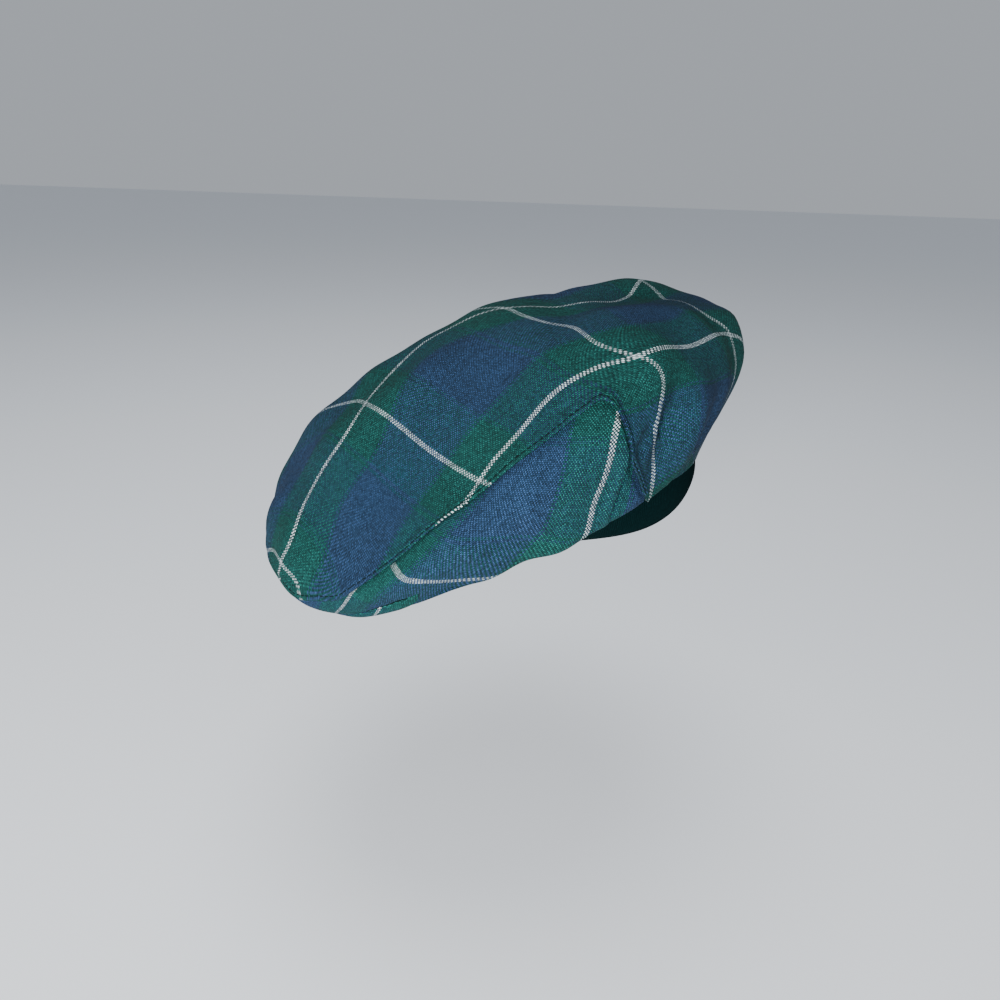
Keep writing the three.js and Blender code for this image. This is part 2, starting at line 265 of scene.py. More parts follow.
def flute_lift(azimuth, level):
    """How far the flutes lift the cloth, in millimetres."""
    lift = np.zeros(np.shape(azimuth))
    for _, top_turn, foot_turn, top, foot, width, depth in FLUTES:
        along = np.clip((level - top) / (foot - top), 0, 1)
        aside = np.mod(azimuth - top_turn - along * (foot_turn - top_turn) + 180, 360) - 180
        lift += depth * np.sin(np.pi * along) ** 1.5 * np.exp(-((aside / width) ** 2))
    return lift


print("flutes:", len(FLUTES), "seam at the near apex, mm:", seam_height(np.array([288.0])).round(1))

# %% [markdown]
# A flat cloth has no azimuth, so stripes and creases are laid out on an unrolled map of the surface: the
# direction is the azimuth, and the distance is the length of the profile from the summit. Below the rim
# the cloth is gathered, so the map grows more slowly there.

# %% Unrolled map
MAP_LEVELS = np.linspace(0, HEM, 101)
MAP_STEP = 3.0
MAP_TURNS = np.arange(0, 361, MAP_STEP)
GATHER = 0.75

mesh_turns, mesh_levels = np.meshgrid(MAP_TURNS, MAP_LEVELS, indexing="ij")
map_points = smooth_point(mesh_turns, mesh_levels).reshape(len(MAP_TURNS), len(MAP_LEVELS), 3)
map_steps = np.linalg.norm(np.diff(map_points, axis=1), axis=2)
map_steps[:, MAP_LEVELS[1:] > RIM] *= GATHER
map_lengths = np.concatenate([np.zeros((len(MAP_TURNS), 1)), np.cumsum(map_steps, axis=1)], axis=1)


def unrolled(azimuth, level):
    """Places on the unrolled map, in millimetres."""
    place = np.mod(azimuth, 360) / MAP_STEP
    row = np.clip(np.floor(place).astype(int), 0, len(MAP_TURNS) - 2)
    part = np.clip(level, 0, HEM) / HEM * (len(MAP_LEVELS) - 1)
    column = np.clip(np.floor(part).astype(int), 0, len(MAP_LEVELS) - 2)
    t, s = place - row, part - column
    near = map_lengths[row, column] * (1 - s) + map_lengths[row, column + 1] * s
    far = map_lengths[row + 1, column] * (1 - s) + map_lengths[row + 1, column + 1] * s
    length = near * (1 - t) + far * t
    aside = np.radians(azimuth)
    return np.stack([length * np.cos(aside), length * np.sin(aside)], axis=-1)


print("map distance from summit to hem at the front, mm:", np.hypot(*unrolled(FRONT, HEM)).round(1))

# %% [markdown]
# The other way round, a pixel of the photograph has to become a place on the surface. A search tree of the
# smooth surface finds where the camera's ray meets it. A ray that just passes by takes the nearest edge.

# %% From a pixel to the surface
SEARCH_DEPTHS = np.arange(0.28, 0.52, 0.004)
LEVEL_TRIES = 1001

tree_points = [Vector(p * MM) for row in map_points for p in row]
row_length = len(MAP_LEVELS)
tree_faces = []
for i in range(len(MAP_TURNS) - 1):
    for k in range(row_length - 1):
        corner = i * row_length + k
        tree_faces.append((corner, corner + 1, corner + row_length + 1, corner + row_length))
surface_tree = BVHTree.FromPolygons(tree_points, tree_faces)


def surface_places(points):
    """Azimuths and levels of the surface nearest to points in millimetres."""
    levels = np.linspace(0, HEM, LEVEL_TRIES)
    azimuth = np.degrees(np.arctan2(points[:, 1], points[:, 0])) % 360
    reach, height = profile(np.repeat(azimuth, len(levels)), np.tile(levels, len(azimuth)))
    gap = np.hypot(reach - np.repeat(np.hypot(points[:, 0], points[:, 1]), len(levels)),
                   height - np.repeat(points[:, 2], len(levels)))
    return azimuth, levels[gap.reshape(len(azimuth), -1).argmin(axis=1)]


def seen_point(pixel):
    """Point of the surface at a pixel, in millimetres, or of its nearest edge where the ray passes by."""
    ray = pixel_ray(pixel)
    place = surface_tree.ray_cast(camera_place, ray)[0]
    if place is None:
        tries = [surface_tree.find_nearest(camera_place + ray * depth) for depth in SEARCH_DEPTHS]
        place = min(tries, key=lambda found: found[3])[0]
    return np.array(place) / MM


def seen_on_map(pixels):
    """Places on the unrolled map that the camera sees at some pixels."""
    return unrolled(*surface_places(np.array([seen_point(pixel) for pixel in pixels])))


CROSSING = (477, 480)
print("a crossing of two white lines lies at azimuth and level",
      [v.round(2) for v in surface_places(seen_point(CROSSING)[None])])

# %% [markdown]
# The tartan is a real woven check: thin white lines every 90 mm, green round them and blue between, the same
# both ways. Where the photograph shows a white line, the cloth's own coordinate has a whole number. A thin
# plate, the smoothest sheet through such readings, gives it everywhere else. Far from the readings, guide
# places keep the weave even.

# %% Cloth coordinates of the crown
REPEAT = 90.0
# Number of the line, how many times closer than usual its threads lie, and pixels along it. The last warp
# row isn't a white line. It is read in the blue and keeps the weave even low on the right.
WARP_LINES = [
    (0, 1, [(283, 562), (292, 547), (299, 520), (308, 493), (338, 450), (365, 404), (385, 375), (419, 345),
         (456, 324), (500, 310)]),
    (0, 1, [(605, 299), (644, 284)]),
    (1, 1, [(445, 520), (460, 508), (466, 500), (477, 480), (487, 466), (514, 439), (544, 402), (578, 375),
         (605, 363), (634, 356), (656, 349), (690, 343), (713, 334), (735, 330)]),
    (1.53, 1, [(638, 462), (655, 455), (672, 440), (686, 425)]),
]
WEFT_LINES = [
    (-1, 1, [(268, 551), (283, 562), (292, 573), (300, 585), (309, 598)]),
    (0, 1, [(355, 399), (365, 404), (389, 419), (423, 446), (450, 465), (477, 480), (488, 485)]),
    (1, 1, [(505, 310), (544, 322), (568, 326), (595, 343), (619, 351), (634, 356), (652, 363), (663, 378),
         (662, 402), (659, 439), (659, 473), (652, 491)]),
    (2, 1, [(646, 286), (659, 290), (673, 298), (692, 304), (735, 330)]),
]
GUIDE_TURNS = (30, 60, 90, 120, 150, 180)
GUIDE_LEVELS = (2.6, 3.6)
CROWN_READINGS, SIDE_READINGS = (-24, -6, 6, 24), (-9, -4, 4, 9)
NEAR_READING = 10
LINE_SLACK, FAR_SLACK = 0.0004, 0.03
PLATE_UNIT = 100.0
TINY = 1e-12


def thin_plate(places, values, slack):
    """A function that bends as little as it can and passes the places' values, each with its own slack."""
    p = places / PLATE_UNIT
    apart = np.linalg.norm(p[:, None] - p[None], axis=-1)
    kernel = np.where(apart > 0, apart ** 2 * np.log(apart + TINY), 0)
    kernel += np.diag(slack)
    plane = np.column_stack([np.ones(len(p)), p])
    system = np.block([[kernel, plane], [plane.T, np.zeros((3, 3))]])
    weights = np.linalg.solve(system, np.concatenate([values, np.zeros(3)]))

    def value(where):
        q = where / PLATE_UNIT
        total = weights[-3] + q @ weights[-2:]
        for centre, weight in zip(p, weights):
            r2 = ((q - centre) ** 2).sum(axis=-1)
            total = total + weight * 0.5 * r2 * np.log(r2 + TINY)
        return total

    return value


def beside(points, azimuth, level, distance):
    """Azimuths and levels of the places a distance to the side of a line of points on the surface."""
    along = np.gradient(points, axis=0)
    aside = np.cross(smooth_normal(azimuth, level), along)
    aside /= np.linalg.norm(aside, axis=1, keepdims=True)
    return surface_places(points + aside * distance)


def cloth_coordinate(lines, to_map, distances, guides):
    """The cloth coordinate through the lines that the photograph shows, its even repeat and its worst miss.

    Each line is read on itself and at some distances to each side, which keeps the threads evenly spaced.
    """
    places, values, sides, crowdings = [], [], [], []
    for number, crowding, pixels in lines:
        points = np.array([seen_point(pixel) for pixel in pixels])
        azimuth, level = surface_places(points)
        places.append(to_map(azimuth, level))
        values.append(np.full(len(points), float(number)))
        crowdings.append(crowding)
        sides.append([to_map(*beside(points, azimuth, level, distance)) for distance in distances])
    readings = np.concatenate(places)
    numbers = np.concatenate(values)
    even = np.linalg.lstsq(np.column_stack([np.ones(len(readings)), readings]), numbers, rcond=None)[0]
    miss = np.abs(even[0] + readings @ even[1:] - numbers).max()
    slack = [np.full(len(readings), LINE_SLACK)]
    for value, moved, crowding in zip(values, sides, crowdings):
        sense = np.sign(((moved[-1] - moved[0]) @ even[1:]).sum())
        for distance, places_there in zip(distances, moved):
            readings = np.concatenate([readings, places_there])
            numbers = np.concatenate([numbers, value + sense * crowding * distance / REPEAT])
            spare = LINE_SLACK if abs(distance) < NEAR_READING else FAR_SLACK
            slack.append(np.full(len(places_there), spare))
    if len(guides):
        readings = np.concatenate([readings, guides])
        numbers = np.concatenate([numbers, even[0] + guides @ even[1:]])
        slack.append(np.full(len(guides), FAR_SLACK))
    return thin_plate(readings, numbers, np.concatenate(slack)), 1 / np.linalg.norm(even[1:]), miss


guide_map = np.array([unrolled(float(turn), level) for turn in GUIDE_TURNS for level in GUIDE_LEVELS])
crown_warp, warp_repeat, warp_miss = cloth_coordinate(WARP_LINES, unrolled, CROWN_READINGS, guide_map)
crown_weft, weft_repeat, weft_miss = cloth_coordinate(WEFT_LINES, unrolled, CROWN_READINGS, guide_map)
print("even repeat in mm:", round(warp_repeat, 1), round(weft_repeat, 1),
      "furthest reading off an even weave, repeats:", round(warp_miss, 2), round(weft_miss, 2))

# %% [markdown]
# The side panel is sewn to the crown in its own direction, so its stripes don't meet the crown's. Its flat
# map runs round the head in one direction and down the profile in the other. On the front its threads lie
# closer together, where the cloth is seen nearly edge on.

# %% Cloth coordinates of the side panel
SIDE_GIRTH = 1.95
SIDE_LINES_DOWN = [
    (0, 1, [(619, 419), (612, 446), (605, 480), (595, 507), (583, 537)]),
    (-1, 2.4, [(352, 593), (347, 600), (342, 606), (337, 612)]),
]
SIDE_LINES_ROUND = [
    (0, 1, [(395, 568), (400, 575), (406, 580), (417, 582), (429, 583), (446, 585), (460, 584), (470, 582)]),
    (-1, 1, [(598, 388), (610, 387)]),
]


def side_map(azimuth, level):
    """Places on the side panel's flat map, in millimetres round and down."""
    azimuth = np.asarray(azimuth, float)
    down = np.hypot(*unrolled(azimuth, level).T)
    return np.stack([azimuth * SIDE_GIRTH, down], axis=-1)


side_warp, down_repeat, down_miss = cloth_coordinate(SIDE_LINES_DOWN, side_map, SIDE_READINGS, [])
side_weft, round_repeat, round_miss = cloth_coordinate(SIDE_LINES_ROUND, side_map, SIDE_READINGS, [])
print("side panel repeats in mm:", round(down_repeat, 1), round(round_repeat, 1),
      "misses:", round(down_miss, 2), round(round_miss, 2))

# %% [markdown]
# Cloth is never as smooth as a drawn curve. Long shallow waves from a seeded random source lie over the whole
# hat, and the creases and dents of the photograph are placed one by one, each as a line between two pixels.

# %% Waves and creases
CREASES = [
    # from pixel, to pixel, half-width in mm, depth in mm
    ((659, 420), (639, 457), 4.0, -2.2),
    ((678, 412), (668, 438), 5.0, -2.2),
    ((579, 321), (690, 311), 6.0, 1.6),
    ((345, 597), (412, 578), 6.0, 1.2),
    ((412, 578), (560, 470), 7.0, 1.4),
    ((560, 470), (600, 425), 6.0, 1.0),
    ((545, 462), (508, 500), 5.0, -1.2),
    ((452, 543), (484, 562), 4.5, 1.0),
    ((520, 505), (548, 535), 5.0, 1.0),
]
CREASE_TAPER = 0.35
WAVES = 14
SHORTEST_WAVE, LONGEST_WAVE = 22, 60
WAVE_STEEPNESS = 0.008
SEED = 7

random = np.random.default_rng(SEED)
wave_turns = random.normal(size=(WAVES, 3))
wave_turns /= np.linalg.norm(wave_turns, axis=1, keepdims=True)
wave_lengths = random.uniform(SHORTEST_WAVE, LONGEST_WAVE, WAVES)
wave_phases = random.uniform(0, 2 * np.pi, WAVES)
wave_depths = WAVE_STEEPNESS * wave_lengths


def waves(points):
    """Soft unevenness of slack cloth, in millimetres, at points in millimetres."""
    phases = points @ wave_turns.T * (2 * np.pi / wave_lengths) + wave_phases
    return (np.sin(phases) * wave_depths).sum(axis=1)


def smooth_step(value):
    """Rises smoothly from nought to one as the value does."""
    value = np.clip(value, 0, 1)
    return value * value * (3 - 2 * value)


def crease_lift(azimuth, level):
    """How far the placed creases lift or sink the cloth, in millimetres."""
    where = unrolled(azimuth, level)
    lift = np.zeros(len(where))
    for start, end, width, depth in CREASES:
        first, last = seen_on_map([start, end])
        span = last - first
        t = ((where - first) @ span) / (span @ span)
        away = np.linalg.norm(where - first - np.clip(t, 0, 1)[:, None] * span, axis=1)
        from_start, from_end = t / CREASE_TAPER, (1 - t) / CREASE_TAPER
        taper = smooth_step(from_start + CREASE_TAPER) * smooth_step(from_end + CREASE_TAPER)
        lift += depth * taper * np.exp(-((away / width) ** 2))
    return lift


CALM_SUMMIT, CALM_HEM = 0.5, 0.8


def cloth_points(azimuth, level, lift):
    """Points of the slack cloth in metres, lifted off its surface by so many millimetres."""
    azimuth, level = azimuth.ravel(), level.ravel()
    points = smooth_point(azimuth, level)
    calm = smooth_step(level / CALM_SUMMIT) * smooth_step((HEM - level) / CALM_HEM)
    uneven = flute_lift(azimuth, level) + (crease_lift(azimuth, level) + waves(points)) * calm
    return (points + smooth_normal(azimuth, level) * (uneven + np.ravel(lift))[:, None]) * MM


print("waves:", WAVES, "deepest, mm:", wave_depths.max().round(2), "creases:", len(CREASES))

# %% [markdown]
# Each cloth panel starts as a flat grid. Its columns are wrapped round the head and its rows run down the
# profile. Rows lie close together beside an edge, where the cloth turns over its seam, and wider elsewhere.
# The panel is then given its thickness inwards.

# %% Helpers that make a panel
PANEL_CLOTH = 1.2
MERGE_DISTANCE = 0.00001
GRID_SIZE = 0.5
SIDEWAYS_WEIGHT = 0.3


def grid_panel(name, turns, levels, lift, coordinates, thickness, closed=False):
    """A cloth panel from rows of levels, with one azimuth for each column or for each place."""
    columns, rows = levels.shape
    azimuths = np.broadcast_to(turns.reshape(columns, -1), levels.shape)
    points = cloth_points(azimuths, levels, lift)
    warp, weft = (value(azimuths.ravel(), levels.ravel()) for value in coordinates)
    bm = bmesh.new()
    bmesh.ops.create_grid(bm, x_segments=columns - 1, y_segments=rows - 1, size=GRID_SIZE)
    bm.verts.ensure_lookup_table()
    flat = np.array([v.co for v in bm.verts])
    column = np.rint((flat[:, 0] + GRID_SIZE) * (columns - 1)).astype(int)
    row = np.rint((flat[:, 1] + GRID_SIZE) * (rows - 1)).astype(int)
    place = column * rows + row
    for vertex, point in zip(bm.verts, points[place]):
        vertex.co = point
    cloth_map = bm.loops.layers.uv.new("cloth")
    for face in bm.faces:
        for loop in face.loops:
            at = place[loop.vert.index]
            loop[cloth_map].uv = (warp[at], weft[at])
    if closed:
        bmesh.ops.remove_doubles(bm, verts=bm.verts, dist=MERGE_DISTANCE)
    return finish_mesh(name, bm, thickness)


def finish_mesh(name, bm, thickness):
    """Turns the normals outwards, shades the mesh smooth and gives the wall its thickness.

    Outwards is away from the middle of the head, and height counts for more there than reach.
    """
    bmesh.ops.recalc_face_normals(bm, faces=bm.faces)
    outward = 0
    for face in bm.faces:
        away = face.calc_center_median()
        away.xy *= SIDEWAYS_WEIGHT
        outward += face.calc_area() * face.normal.dot(away)
    if outward < 0:
        bmesh.ops.reverse_faces(bm, faces=bm.faces)
    mesh = bpy.data.meshes.new(name)
    bm.to_mesh(mesh)
    bm.free()
    mesh.shade_smooth()
    piece = bpy.data.objects.new(name, mesh)
    bpy.context.collection.objects.link(piece)
    if thickness:
        wall = piece.modifiers.new("wall", "SOLIDIFY")
        wall.thickness = thickness * MM
        wall.offset = -1
    return piece


SEEN_FROM, SEEN_TO, SEEN_STEP = 200, 352, 0.75
TUCK_FROM, TUCK_TO, TUCK_STEP = 290, 306, 0.4
HIDDEN_STEP = 1.35


def spaced_turns(start, end):
    """Azimuths from one to another, closer together where the photograph sees the hat and at its tuck."""
    turns = [start]
    while turns[-1] < end:
        step = HIDDEN_STEP
        if SEEN_FROM < turns[-1] % 360 < SEEN_TO:
            step = SEEN_STEP
        if TUCK_FROM < turns[-1] % 360 < TUCK_TO:
            step = TUCK_STEP
        turns.append(turns[-1] + step)
    turns[-1] = end
    return np.array(turns)


def panel_levels(turns, top_level, edge_level, far_rows, near_top, near_edge):
    """Levels of the rows: evenly spaced along the cloth, with given spacings in mm beside the two edges."""
    levels = []
    for turn, top, edge in zip(turns, top_level, edge_level):
        points = smooth_point(np.full(len(MAP_LEVELS), turn), MAP_LEVELS)
        steps = np.linalg.norm(np.diff(points, axis=0), axis=1)
        lengths = np.concatenate([[0], np.cumsum(steps)])
        first, last = np.interp([top, edge], MAP_LEVELS, lengths)
        beside_top = first + np.array(near_top)
        beside_edge = last - np.array(near_edge)
        middle = np.linspace(beside_top[-1] if near_top else first, beside_edge[0], far_rows)
        both = np.concatenate([beside_top[:-1] if near_top else [], middle, beside_edge[1:]])
        levels.append(np.interp(both, lengths, MAP_LEVELS))
    return np.array(levels)


print("columns round the whole head:", len(spaced_turns(BACK, BACK + 360)))

# %% [markdown]
# In front, the crown ends at the seam. At each tuck its edge leaves the seam and slants down to the hem, in a
# few steps of azimuth and level, and behind the tucks the crown ends at the hem.

# %% Where the crown ends
NEAR_EDGE = np.array([(295, 3.33), (297.5, 3.46), (299.2, 3.56), (301.3, 3.7), (303.2, 3.83), (305.6, 4.05),
                      (308, 5)])
FAR_EDGE = np.array([(115.4, 5), (116.6, 4.25), (118, 3.9), (121, 3.75), (124, 3.6)])


def crown_edge(turns):
    """Level of the crown's lower edge."""
    turns = np.mod(turns, 360)
    near_start, near_end = NEAR_EDGE[[0, -1], 0]
    level = np.full(turns.shape, HEM)
    sewn = (turns > FAR_TUCK) & (turns < near_start)
    level[sewn] = level_at_height(turns[sewn], seam_height(turns[sewn]))
    near = (turns >= near_start) & (turns < near_end)
    level[near] = np.interp(turns[near], *NEAR_EDGE.T)
    far = (turns > FAR_EDGE[0, 0]) & (turns <= FAR_TUCK)
    level[far] = np.interp(turns[far], *FAR_EDGE.T)
    return level


print("crown edge level on each side of the far tuck:", crown_edge(FAR_TUCK + np.array([-0.1, 0.1])).round(2))

# %% [markdown]
# The crown is one large piece of cloth. Its edge is turned under and sewn down on the side panel, so it
# stands a little proud there, dips along the stitching and ends in a soft roll. Behind, it runs on to the
# headband.

# %% Crown
CROWN_ROWS = 70
EDGE_ROWS = (7.5, 6.2, 5.0, 4.0, 3.4, 3.0, 2.7, 2.4, 2.1, 1.8, 1.4, 1.0, 0.6, 0.3, 0.12, 0.0)
FAR_FROM_EDGE = 20.0
SEWN_TO_LEVEL, SEWN_FADE = 4.3, 0.8
LAP_LIFT, LAP_WIDTH, LAP_FADE = 1.5, 2.5, 6
STITCH_INSET, STITCH_DIP, STITCH_SPREAD = 2.4, 0.6, 0.7
EDGE_ROLL, ROLL_WIDTH = 0.9, 0.6

crown_turns = spaced_turns(BACK, BACK + 360)
crown_ends = crown_edge(crown_turns)
crown_levels = panel_levels(crown_turns, 0 * crown_turns, crown_ends, CROWN_ROWS, (), EDGE_ROWS)
from_edge = np.full(crown_levels.shape, FAR_FROM_EDGE)
from_edge[:, -len(EDGE_ROWS):] = EDGE_ROWS
sewn = smooth_step((SEWN_TO_LEVEL - crown_ends) / SEWN_FADE)[:, None]
lap = LAP_LIFT * (1 - smooth_step((from_edge - LAP_WIDTH) / LAP_FADE))
dip = STITCH_DIP * np.exp(-(((from_edge - STITCH_INSET) / STITCH_SPREAD) ** 2))
roll = EDGE_ROLL * (1 - np.clip(from_edge / ROLL_WIDTH, 0, 1)) ** 2
crown_lift = sewn * (lap - dip - roll)


def on_crown(field):
    """A cloth coordinate of the crown as a function of azimuth and level."""
    return lambda azimuth, level: field(unrolled(azimuth, level))


crown = grid_panel("crown_cloth", crown_turns, crown_levels, crown_lift,
                   (on_crown(crown_warp), on_crown(crown_weft)), PANEL_CLOTH, closed=True)
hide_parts("crown_top")
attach(crown, "root")
print("crown faces:", len(crown.data.polygons))

# %% [markdown]
# The front lip is a narrow stiff crescent low on the front. The photograph shows the near part of its upper
# seam; from there it runs on out of sight to the far side. The side panel dips along it to make room.

# %% Where the front lip lies
LIP_HALF_ANGLE = 36
LIP_SINK, LIP_SINK_END = 1.5, 0.8
LIP_INNER = FOLD + 0.4
LIP_POINT = 0.05
LIP_SEAM = [(340, 611), (351, 611), (362, 610), (373, 607.5), (385, 605), (394, 602), (405, 600), (413, 597)]
LIP_FAR_EDGE = [(174, 4.0), (186, 3.93), (200, 3.87), (214, 3.8)]
LIP_SETBACK = 0.07
lip_edge = np.array(LIP_FAR_EDGE + list(zip(*surface_places(np.array([seen_point(p) for p in LIP_SEAM])))))
lip_edge[:, 1] += LIP_SETBACK


def lip_place(azimuth):
    """Fullness of the lip at an azimuth, from nought at its points to one, and levels of its two edges."""
    full = np.sqrt(np.clip(1 - ((azimuth - FRONT) / LIP_HALF_ANGLE) ** 2, 0, 1))
    outer = np.interp(azimuth, *lip_edge.T)
    return full, outer, outer + (LIP_INNER - outer) * (LIP_POINT + (1 - LIP_POINT) * full)


def lip_sink(azimuth):
    """How deep the side panel dips under the lip, in millimetres, less towards the lip's points."""
    return LIP_SINK * smooth_step(lip_place(azimuth)[0] / LIP_SINK_END)


print("lip seam from level", lip_edge[:, 1].max().round(2), "to", lip_edge[:, 1].min().round(2))

# %% [markdown]
# The side panel comes out from under the crown's edge, goes round the rim and turns in to the headband. At
# the near tuck it ends in a fold, which rolls under and swells a little beside its edge. At the far tuck it
# goes in under the crown. Under the front lip it dips, to make room.

# %% Side panel
SIDE_START = 115.0
SIDE_ROWS = 96
TOP_ROWS = (0.0, 1.5, 3.0, 4.5, 6.0, 7.0, 8.0, 9.5, 11.0, 13.0)
FAR_FROM_TOP = 20.0
UNDER_LAP, UNDER_DEPTH, UNDER_WIDTH, UNDER_FADE = 0.18, 1.1, 6.0, 5
FOLD_LINE = np.array([(3.0, 294.9), (3.3, 294.8), (3.45, 294.0), (3.6, 293.1), (3.75, 292.6), (5, 291.5)])
FOLD_START = 278
FOLD_ROLL, FOLD_ROLL_WIDTH, FOLD_ROLL_LOST = 2.6, 1.3, 0.85
FOLD_SWELL, SWELL_INSET, SWELL_SPREAD, SWELL_TOP = 1.2, 2.2, 2.0, 3.1
HEM_START, LEVEL_FADE = 3.6, 0.3
FAR_TUCK_DEPTH, FAR_TUCK_END, FAR_TUCK_FADE = 2.4, 125.5, 1.6
LIP_ROOM, LIP_OUTER_FADE, LIP_INNER_FADE = 0.05, 0.08, 0.12


def on_side(field):
    """A cloth coordinate of the side panel as a function of azimuth and level."""
    return lambda azimuth, level: field(side_map(azimuth, level))


def near_hem(level):
    """Nought on the open cloth and one from just above the slack fold to the hem."""
    return smooth_step((level - HEM_START) / LEVEL_FADE)


fold_top = FOLD_LINE[0, 1]
side_turns = spaced_turns(SIDE_START, fold_top)
side_tops = level_at_height(side_turns, seam_height(np.clip(side_turns, FAR_TUCK, NEAR_TUCK))) - UNDER_LAP
side_levels = panel_levels(side_turns, side_tops, 0 * side_turns + HEM, SIDE_ROWS, TOP_ROWS, (0.0,))
below_top = np.full(side_levels.shape, FAR_FROM_TOP)
below_top[:, :len(TOP_ROWS)] = TOP_ROWS
sunk = UNDER_DEPTH * (1 - smooth_step((below_top - UNDER_WIDTH) / UNDER_FADE))
fold_turn = np.interp(side_levels, *FOLD_LINE.T)
near_fold = np.clip((side_turns[:, None] - FOLD_START) / (fold_top - FOLD_START), 0, 1)
side_places = side_turns[:, None] + (fold_turn - fold_top) * near_fold
to_fold = fold_turn - side_places
swell = FOLD_SWELL * np.exp(-(((to_fold - SWELL_INSET) / SWELL_SPREAD) ** 2))
swell = swell * smooth_step((side_levels - SWELL_TOP) / LEVEL_FADE) * (1 - near_hem(side_levels))
roll = FOLD_ROLL * (1 - np.clip(to_fold / FOLD_ROLL_WIDTH, 0, 1)) ** 2
roll = roll * (1 - FOLD_ROLL_LOST * near_hem(side_levels))
far_tucked = FAR_TUCK_DEPTH * smooth_step((FAR_TUCK_END - side_turns) / FAR_TUCK_FADE)[:, None]
full, outer, inner = lip_place(side_turns[:, None])
dip = lip_sink(side_turns[:, None]) * smooth_step((side_levels - outer + LIP_ROOM) / LIP_OUTER_FADE)
dip = dip * smooth_step((inner - side_levels) / LIP_INNER_FADE)
side = grid_panel("side_cloth", side_places, side_levels, swell - sunk - roll - dip - far_tucked,
                  (on_side(side_warp), on_side(side_weft)), PANEL_CLOTH)
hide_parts("side_panel")
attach(side, "root")
print("side panel faces:", len(side.data.polygons))

# %% [markdown]
# Between the side panel's fold and the crown's edge lies a narrow wedge of the same cloth, where the slack
# was taken in. It is a panel of its own. It lies deepest right behind the fold, which draws the fold's dark
# line, and comes out level at the hem.

# %% Tucked wedge
WEDGE_TURNS, WEDGE_COLUMNS = (288.5, 308), 80
WEDGE_TOP, WEDGE_ROWS = 3.05, 40
WEDGE_SINK = 0.9
WEDGE_DEPTH, WEDGE_DEEP_TO, WEDGE_DEEP_FADE = 2.4, 3.45, 0.45
FOLD_POCKET, FOLD_POCKET_WIDTH, FOLD_POCKET_LOST = 4.4, 1.1, 0.95
EDGE_POCKET, EDGE_POCKET_WIDTH = 1.0, 0.5

wedge_turns = np.linspace(*WEDGE_TURNS, WEDGE_COLUMNS)
wedge_tops = np.full(WEDGE_COLUMNS, WEDGE_TOP)
wedge_levels = panel_levels(wedge_turns, wedge_tops, 0 * wedge_turns + HEM, WEDGE_ROWS, (), (0.0,))
past_fold = np.clip(wedge_turns[:, None] - np.interp(wedge_levels, *FOLD_LINE.T), 0, None)
before_edge = np.clip(np.interp(wedge_levels, *NEAR_EDGE.T[::-1]) - wedge_turns[:, None], 0, None)
pockets = FOLD_POCKET * np.exp(-((past_fold / FOLD_POCKET_WIDTH) ** 2))
pockets = pockets * (1 - FOLD_POCKET_LOST * near_hem(wedge_levels))
pockets += EDGE_POCKET * np.exp(-((before_edge / EDGE_POCKET_WIDTH) ** 2))
deep = WEDGE_DEPTH * (1 - smooth_step((wedge_levels - WEDGE_DEEP_TO) / WEDGE_DEEP_FADE))
wedge = grid_panel("tuck_wedge", wedge_turns, wedge_levels, -(WEDGE_SINK + deep + pockets),
                   (on_side(side_warp), on_side(side_weft)), PANEL_CLOTH)
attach(wedge, "root")
print("wedge faces:", len(wedge.data.polygons))

# %% [markdown]
# The lip is covered with the same cloth, cut apart from the side panel, so its one white line stands where
# the photograph shows it. It swells a little between its two edges and sinks into the seam at both.

# %% Front lip
LIP_RISE = 2.3
LIP_COLUMNS, LIP_ROWS = 141, 29
LIP_WHITE = (373, 612)

lip_turns = FRONT + LIP_HALF_ANGLE * np.linspace(-1, 1, LIP_COLUMNS)
full, outer, inner = lip_place(lip_turns[:, None])
across = np.linspace(0, 1, LIP_ROWS)[None, :]
lip_levels = outer + (inner - outer) * across
lip_round = np.sqrt(np.clip(1 - (2 * across - 1) ** 4, 0, 1))
room = lip_sink(lip_turns[:, None])
lip_lift = (room + LIP_RISE * full ** 1.5) * lip_round - room
lip_shift = -1 - side_warp(side_map(*surface_places(seen_point(LIP_WHITE)[None])))[0]
lip = grid_panel("lip_cloth", lip_turns, lip_levels, lip_lift,
                 (on_side(lambda place: side_warp(place) + lip_shift), on_side(side_weft)), PANEL_CLOTH)
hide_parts("front_lip")
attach(lip, "root")
print("lip faces:", len(lip.data.polygons))

# %% [markdown]
# The headband is knitted in a rib, which lets it stretch over the head. The rib is real relief: a fine wave
# round the band, on a section that swells softly between its edges. At the near right the band hangs a
# little lower, as the photograph shows.

# %% Headband
RIBS = 390
RIB_COLUMNS = 5
RIB_DEPTH, RIB_FADE = 0.38, 0.3
BAND_ROWS = 17
BAND_BULGE, BULGE_TOP = 1.6, 0.75
BAND_DROOP, DROOP_TURN, DROOP_SPREAD = 4.5, 320, 30
BAND_KNIT = 2.0

